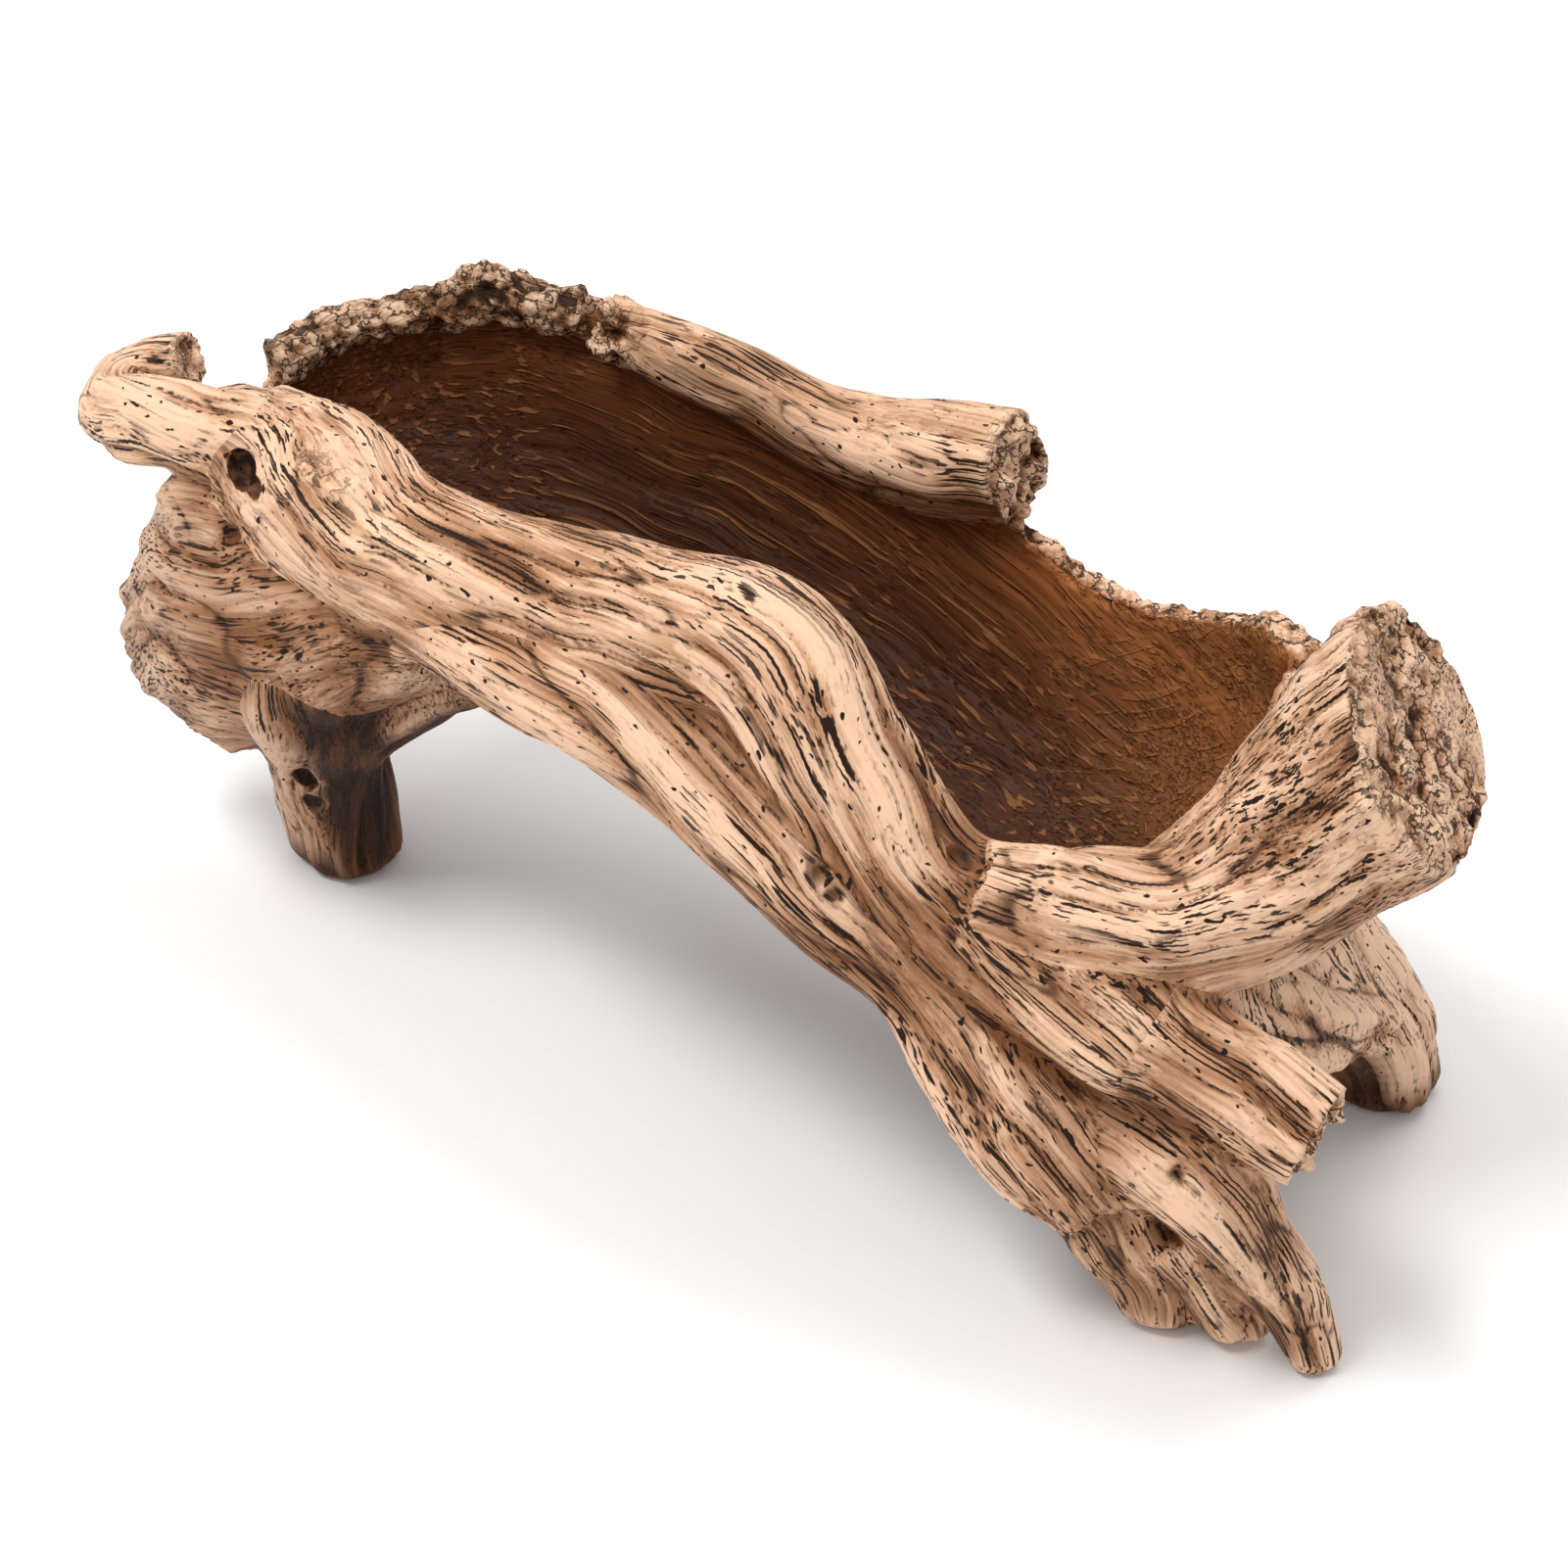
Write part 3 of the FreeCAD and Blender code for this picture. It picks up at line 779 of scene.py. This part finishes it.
class Nodes:
    """Short calls that add and join shader nodes of one material."""

    def __init__(self, name):
        self.material = bpy.data.materials.new(name)
        self.material.use_nodes = True
        self.tree = self.material.node_tree
        self.tree.nodes.clear()

    def add(self, kind, inputs=None, **settings):
        node = self.tree.nodes.new(kind)
        for key, value in settings.items():
            setattr(node, key, value)
        for key, value in (inputs or {}).items():
            if isinstance(value, bpy.types.NodeSocket):
                self.tree.links.new(value, node.inputs[key])
            else:
                node.inputs[key].default_value = value
        return node

    def value(self, name):
        return self.add("ShaderNodeAttribute", attribute_name=name).outputs["Fac"]

    def vector(self, name):
        return self.add("ShaderNodeAttribute", attribute_name=name).outputs["Vector"]

    def maths(self, operation, a, b):
        return self.add("ShaderNodeMath", {0: a, 1: b}, operation=operation).outputs[0]

    def ramp(self, value, low, high, out_low=0.0, out_high=1.0):
        node = self.add("ShaderNodeMapRange", {0: value, 1: low, 2: high, 3: out_low, 4: out_high})
        node.interpolation_type = "SMOOTHSTEP"
        return node.outputs[0]

    def stretched(self, vector, scale):
        return self.add("ShaderNodeVectorMath", {0: vector, 1: scale}, operation="MULTIPLY").outputs[0]

    def noise(self, vector, detail=3.0, roughness=0.55, scale=1.0):
        inputs = {"Vector": vector, "Scale": scale, "Detail": detail, "Roughness": roughness}
        return self.add("ShaderNodeTexNoise", inputs).outputs["Fac"]

    def mix(self, factor, a, b):
        node = self.add("ShaderNodeMix", data_type="RGBA")
        for socket, value in ((node.inputs[0], factor), (node.inputs[6], a), (node.inputs[7], b)):
            if isinstance(value, bpy.types.NodeSocket):
                self.tree.links.new(value, socket)
            else:
                socket.default_value = value
        return node.outputs[2]

    def bump(self, height, distance, strength):
        inputs = {"Height": height, "Distance": distance, "Strength": strength}
        return self.add("ShaderNodeBump", inputs).outputs["Normal"]

    def finished(self, base, normal, roughness, specular=None):
        """Close the material with one shader, and give the material."""
        inputs = {"Base Color": base, "Roughness": roughness}
        if normal is not None:
            inputs["Normal"] = normal
        shader = self.add("ShaderNodeBsdfPrincipled", inputs)
        if specular is not None:
            shader.inputs["Specular IOR Level"].default_value = specular
        output = self.add("ShaderNodeOutputMaterial")
        self.tree.links.new(shader.outputs[0], output.inputs[0])
        return self.material


def colour(red, green, blue):
    return (red, green, blue, 1.0)


CREAM = colour(0.84, 0.550, 0.370)
TAN = colour(0.50, 0.265, 0.145)
BROWN = colour(0.20, 0.078, 0.030)
SOOT = colour(0.022, 0.010, 0.006)
CHOCOLATE = colour(0.370, 0.125, 0.036)
COCOA = colour(0.150, 0.048, 0.015)
# UMBER and LEATHER: painted shade on undersides and shaded sides.
UMBER = colour(0.028, 0.010, 0.005)
GINGER = colour(0.42, 0.175, 0.062)
WASH = colour(0.085, 0.035, 0.016)
# COFFEE: painted shade at the floor of the hollow.
COFFEE = colour(0.045, 0.014, 0.006)
LEATHER = colour(0.17, 0.062, 0.019)
DULL_CREAM = colour(0.62, 0.40, 0.27)
DULL_TAN = colour(0.40, 0.205, 0.112)
WARM_TAN = colour(0.58, 0.33, 0.19)
DUSTY_TAN = colour(0.66, 0.44, 0.29)
WET_BARK = colour(0.27, 0.135, 0.068)
DARK_BARK = colour(0.10, 0.042, 0.018)
SATIN_SPECULAR = 0.11


def shifted(nodes, vector, amount):
    inputs = {0: vector, 1: (amount, amount, amount)}
    return nodes.add("ShaderNodeVectorMath", inputs, operation="ADD").outputs[0]


def centred(nodes, value, amount):
    """A noise value made to swing evenly about nothing, by a given amount."""
    return nodes.maths("MULTIPLY", nodes.maths("SUBTRACT", value, 0.5), amount)


def slit_marks(nodes, grain, length, width, low, high, seed):
    """Thin marks along the grain, given in millimetres: 1 inside each mark and 0 between them."""
    scale = (1 / length, 1 / width, 1 / width)
    field = nodes.noise(shifted(nodes, nodes.stretched(grain, scale), seed), detail=0.0)
    return nodes.ramp(field, low, high)


def grain_ink(nodes, grain, groove):
    """How black the paint is in the finest cracks, and how crowded the cracks are."""
    crowd = nodes.ramp(nodes.noise(nodes.stretched(grain, (0.020, 0.11, 0.11)), detail=1.0), 0.42, 0.60)
    deep = nodes.maths("ADD", crowd, groove)
    lines = slit_marks(nodes, grain, 42.0, 0.80, 0.665, 0.715, 5.0)
    lines = nodes.maths("MULTIPLY", lines, nodes.ramp(deep, 0.0, 0.6, 0.35, 1.0))
    hairs = slit_marks(nodes, grain, 30.0, 0.50, 0.605, 0.700, 31.0)
    hairs = nodes.maths("MULTIPLY", hairs, nodes.ramp(deep, 0.0, 0.9, 0.10, 0.95))
    dots = slit_marks(nodes, grain, 2.0, 1.1, 0.76, 0.80, 73.0)
    return nodes.maths("MAXIMUM", nodes.maths("MAXIMUM", lines, hairs), dots), crowd


def wood_tone(nodes, grain, height, fullness, level):
    """How light the dry-brushed paint is: lighter on ridges, browner in dips, darker in hollows partly as
    painted shade, streaked with the grain.
    """
    patches = nodes.noise(nodes.stretched(grain, (0.020, 0.060, 0.060)), detail=2.0)
    streaks = nodes.noise(nodes.stretched(grain, (0.030, 0.80, 0.80)), detail=4.0, roughness=0.65)
    tone = nodes.maths("ADD", nodes.maths("MULTIPLY", height, 0.20), level)
    # Darker where the form is less full: partly the paint's wash, partly painted shade in hollows and
    # creases.
    tone = nodes.maths("ADD", tone, nodes.maths("MULTIPLY", fullness, 0.42))
    tone = nodes.maths("ADD", tone, centred(nodes, patches, 1.4))
    return nodes.maths("ADD", tone, centred(nodes, streaks, 1.5)), streaks


def speckle(nodes, height, groove, light, middle, dark):
    """Broken wood: cream lumps split by dark cracks, brown between them."""
    place = nodes.stretched(nodes.add("ShaderNodeTexCoord").outputs["Object"], (1000.0, 1000.0, 1000.0))
    lumps = nodes.noise(place, scale=0.55, detail=4.0, roughness=0.65)
    field = nodes.noise(place, scale=0.26, detail=3.0, roughness=0.6)
    off_line = nodes.maths("ABSOLUTE", nodes.maths("SUBTRACT", field, 0.5), 0.0)
    patches = nodes.noise(place, scale=0.12, detail=2.0)
    tone = nodes.maths("ADD", nodes.maths("MULTIPLY", height, 0.20), nodes.maths("MULTIPLY", lumps, 1.2))
    tone = nodes.maths("ADD", tone, nodes.maths("SUBTRACT", patches, 0.45))
    base = nodes.mix(nodes.ramp(tone, 0.12, 0.45), dark, middle)
    base = nodes.mix(nodes.ramp(tone, 0.35, 0.70), base, light)
    crack = nodes.maths("MAXIMUM", nodes.ramp(off_line, 0.035, 0.008), nodes.ramp(groove, 0.45, 1.0))
    return nodes.mix(nodes.maths("MULTIPLY", crack, 0.88), base, SOOT), crack


def hollow_paint(nodes, grain, tone, ink):
    """The brown inside of the log: dark wash, painted shade deeper down, fine lighter scratches, more of
    them at the right end.
    """
    place = nodes.add("ShaderNodeTexCoord").outputs["Object"]
    across = nodes.add("ShaderNodeSeparateXYZ", {0: place}).outputs[0]
    right = nodes.ramp(across, 0.035, 0.085)
    depth = nodes.add("ShaderNodeSeparateXYZ", {0: grain}).outputs[2]
    # Painted shade: the inside darkens deeper down towards the floor of the hollow.
    tone = nodes.maths("SUBTRACT", tone, nodes.ramp(depth, 8.0, -30.0, 0.0, 1.15))
    base = nodes.mix(nodes.ramp(tone, 0.0, 0.85), COCOA, CHOCOLATE)
    turned = nodes.add("ShaderNodeMapping", {"Vector": grain, "Rotation": (0.0, 0.75, 0.0)}).outputs[0]
    along = slit_marks(nodes, grain, 46.0, 1.0, 0.60, 0.72, 13.0)
    slanted = slit_marks(nodes, turned, 40.0, 1.2, 0.64, 0.72, 47.0)
    slanted = nodes.maths("MULTIPLY", slanted, right)
    scratches = nodes.maths("MAXIMUM", nodes.maths("MULTIPLY", along, 0.75), slanted)
    base = nodes.mix(nodes.maths("MULTIPLY", right, 0.35), base, GINGER)
    # More painted shade, near-black brown, at the floor of the hollow.
    base = nodes.mix(nodes.ramp(depth, -2.0, -26.0, 0.0, 0.80), base, COFFEE)
    base = nodes.mix(nodes.maths("MULTIPLY", scratches, 0.6), base, GINGER)
    return nodes.mix(nodes.maths("MULTIPLY", ink, 0.45), base, SOOT), scratches


def painted_resin(name, light, middle, dark, level=0.52):
    """Painted cast resin: dry-brushed ridges, dark wash in the grooves, painted shade on undersides and in
    the hollow, satin varnish.
    """
    nodes = Nodes(name)
    grain = nodes.vector("grain")
    inside = nodes.value("inside")
    ink, crowd = grain_ink(nodes, grain, nodes.value("groove"))
    tone, streaks = wood_tone(nodes, grain, nodes.value("height"), nodes.value("fullness"), level)
    tone = nodes.maths("SUBTRACT", tone, nodes.maths("MULTIPLY", crowd, 0.22))
    base = nodes.mix(nodes.ramp(tone, -0.10, 0.50), dark, middle)
    base = nodes.mix(nodes.ramp(tone, 0.30, 0.85), base, light)
    wash = nodes.ramp(nodes.value("groove"), 0.15, 0.95)
    base = nodes.mix(nodes.maths("MULTIPLY", wash, 0.85), base, WASH)
    base = nodes.mix(nodes.maths("MAXIMUM", ink, nodes.ramp(nodes.value("groove"), 1.0, 1.4)), base, SOOT)
    broken, crack = speckle(nodes, nodes.value("height"), nodes.value("groove"), light, middle, dark)
    base = nodes.mix(nodes.value("rough"), base, broken)
    # Painted shade over some darker paint, near-black brown, where the under value is high.
    shade = nodes.mix(nodes.ramp(tone, 0.25, 1.15), UMBER, LEATHER)
    base = nodes.mix(nodes.value("under"), base, shade)
    hollow, scratches = hollow_paint(nodes, grain, tone, ink)
    base = nodes.mix(inside, base, hollow)
    gloss = nodes.ramp(streaks, 0.3, 0.7, 0.36, 0.58)
    carve = nodes.maths("SUBTRACT", nodes.maths("MULTIPLY", streaks, 0.6), ink)
    scored = nodes.maths("MULTIPLY", nodes.maths("MULTIPLY", scratches, inside), 0.9)
    carve = nodes.maths("ADD", carve, scored)
    carve = nodes.maths("SUBTRACT", carve, nodes.maths("MULTIPLY", crack, nodes.value("rough")))
    return nodes.finished(base, nodes.bump(carve, 0.0005, 1.0), gloss, SATIN_SPECULAR)


def glass_fibre():
    """Bare glass-fibre rod: pale green-grey with fine lengthwise strands."""
    nodes = Nodes("glass_fibre")
    place = nodes.add("ShaderNodeTexCoord").outputs["Object"]
    strands = nodes.noise(nodes.stretched(place, (300.0, 300.0, 2500.0)), detail=3.0)
    base = nodes.mix(strands, colour(0.42, 0.46, 0.34), colour(0.70, 0.72, 0.62))
    return nodes.finished(base, nodes.bump(strands, 0.0001, 0.5), 0.45)


# ---------------------------------------------------------------- studio

def add_camera():
    """A view from the front right and above, with a moderate lens."""
    azimuth, elevation, distance = math.radians(30), math.radians(40), 0.760
    target = np.array([0.0, 0.0, 0.055]) + ORIGIN * MM
    level = math.cos(elevation)
    back = np.array([math.sin(azimuth) * level, -math.cos(azimuth) * level, math.sin(elevation)])
    data = bpy.data.cameras.new("camera")
    data.lens = 91.9
    data.sensor_width = 36.0
    data.shift_x = -0.0028
    data.shift_y = 0.0215
    data.clip_start = 0.01
    camera = bpy.data.objects.new("camera", data)
    camera.location = target + back * distance
    camera.rotation_euler = (math.pi / 2 - elevation, 0.0, azimuth)
    bpy.context.scene.collection.objects.link(camera)
    bpy.context.scene.camera = camera


def add_floor():
    size = 6.0
    mesh = bpy.data.meshes.new("floor")
    corners = [(-size, -size, 0), (size, -size, 0), (size, size, 0), (-size, size, 0)]
    mesh.from_pydata(corners, [], [(0, 1, 2, 3)])
    floor = bpy.data.objects.new("floor", mesh)
    floor.location.z = -0.0002
    bpy.context.scene.collection.objects.link(floor)
    nodes = Nodes("floor_paper")
    place = nodes.add("ShaderNodeTexCoord").outputs["Object"]
    base = nodes.mix(nodes.noise(place, scale=3.0), colour(0.93, 0.93, 0.93), colour(0.96, 0.96, 0.96))
    mesh.materials.append(nodes.finished(base, None, 0.9))


def add_light(name, place, power, size):
    data = bpy.data.lights.new(name, "AREA")
    data.energy = power
    data.size = size
    light = bpy.data.objects.new(name, data)
    light.location = place
    aim = -np.array(place) / np.linalg.norm(place)
    light.rotation_euler = (math.acos(-aim[2]), 0.0, math.atan2(aim[0], -aim[1]))
    bpy.context.scene.collection.objects.link(light)


def add_studio():
    add_light("key", (-0.5, -0.6, 1.6), 27.0, 0.7)
    add_light("fill", (1.0, -1.2, 0.65), 28.0, 0.9)
    add_light("top", (0.1, 0.7, 1.6), 13.0, 1.0)
    world = bpy.data.worlds.new("studio")
    world.use_nodes = True
    world.node_tree.nodes["Background"].inputs[0].default_value = (1.0, 1.0, 1.0, 1.0)
    world.node_tree.nodes["Background"].inputs[1].default_value = 0.62
    bpy.context.scene.world = world
    bpy.context.scene.view_settings.view_transform = "Standard"


# ---------------------------------------------------------------- ornament


def ornament_paints():
    """The paint of each piece; the ones that aren't named are plain weathered root."""
    shade = painted_resin("shaded_root", DULL_CREAM, DULL_TAN, BROWN, 0.50)
    smooth = painted_resin("smooth_rim", CREAM, WARM_TAN, BROWN, 0.30)
    return {
        "trough_shell": painted_resin("hollow_log", CREAM, TAN, BROWN),
        "root_flare": shade,
        "left_foot": shade,
        "rear_foot": painted_resin("rear_root", CREAM, TAN, BROWN, 0.80),
        "sawn_log": painted_resin("sawn_log_paint", CREAM, TAN, BROWN, 0.66),
        "rim_branch": smooth,
        "bark_rim": painted_resin("bark", DUSTY_TAN, WET_BARK, DARK_BARK, 0.5),
    }


def build_ornament():
    form = Form()
    carver = Carver(form)
    root_paint = painted_resin("weathered_root", CREAM, TAN, BROWN)
    paints = ornament_paints()
    for node in form.names:
        mesh = mesh_piece(form, carver, node)
        mesh.materials.append(paints.get(node, root_paint))
        piece = bpy.data.objects.new(f"{node}_carved", mesh)
        bpy.context.scene.collection.objects.link(piece)
        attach(piece, "root")
        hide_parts(node)
        print(node, "triangles", 2 * len(mesh.polygons))
    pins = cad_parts["locating_pins"]
    pins.data.materials.clear()
    pins.data.materials.append(glass_fibre())


build_ornament()
add_floor()
add_studio()
add_camera()
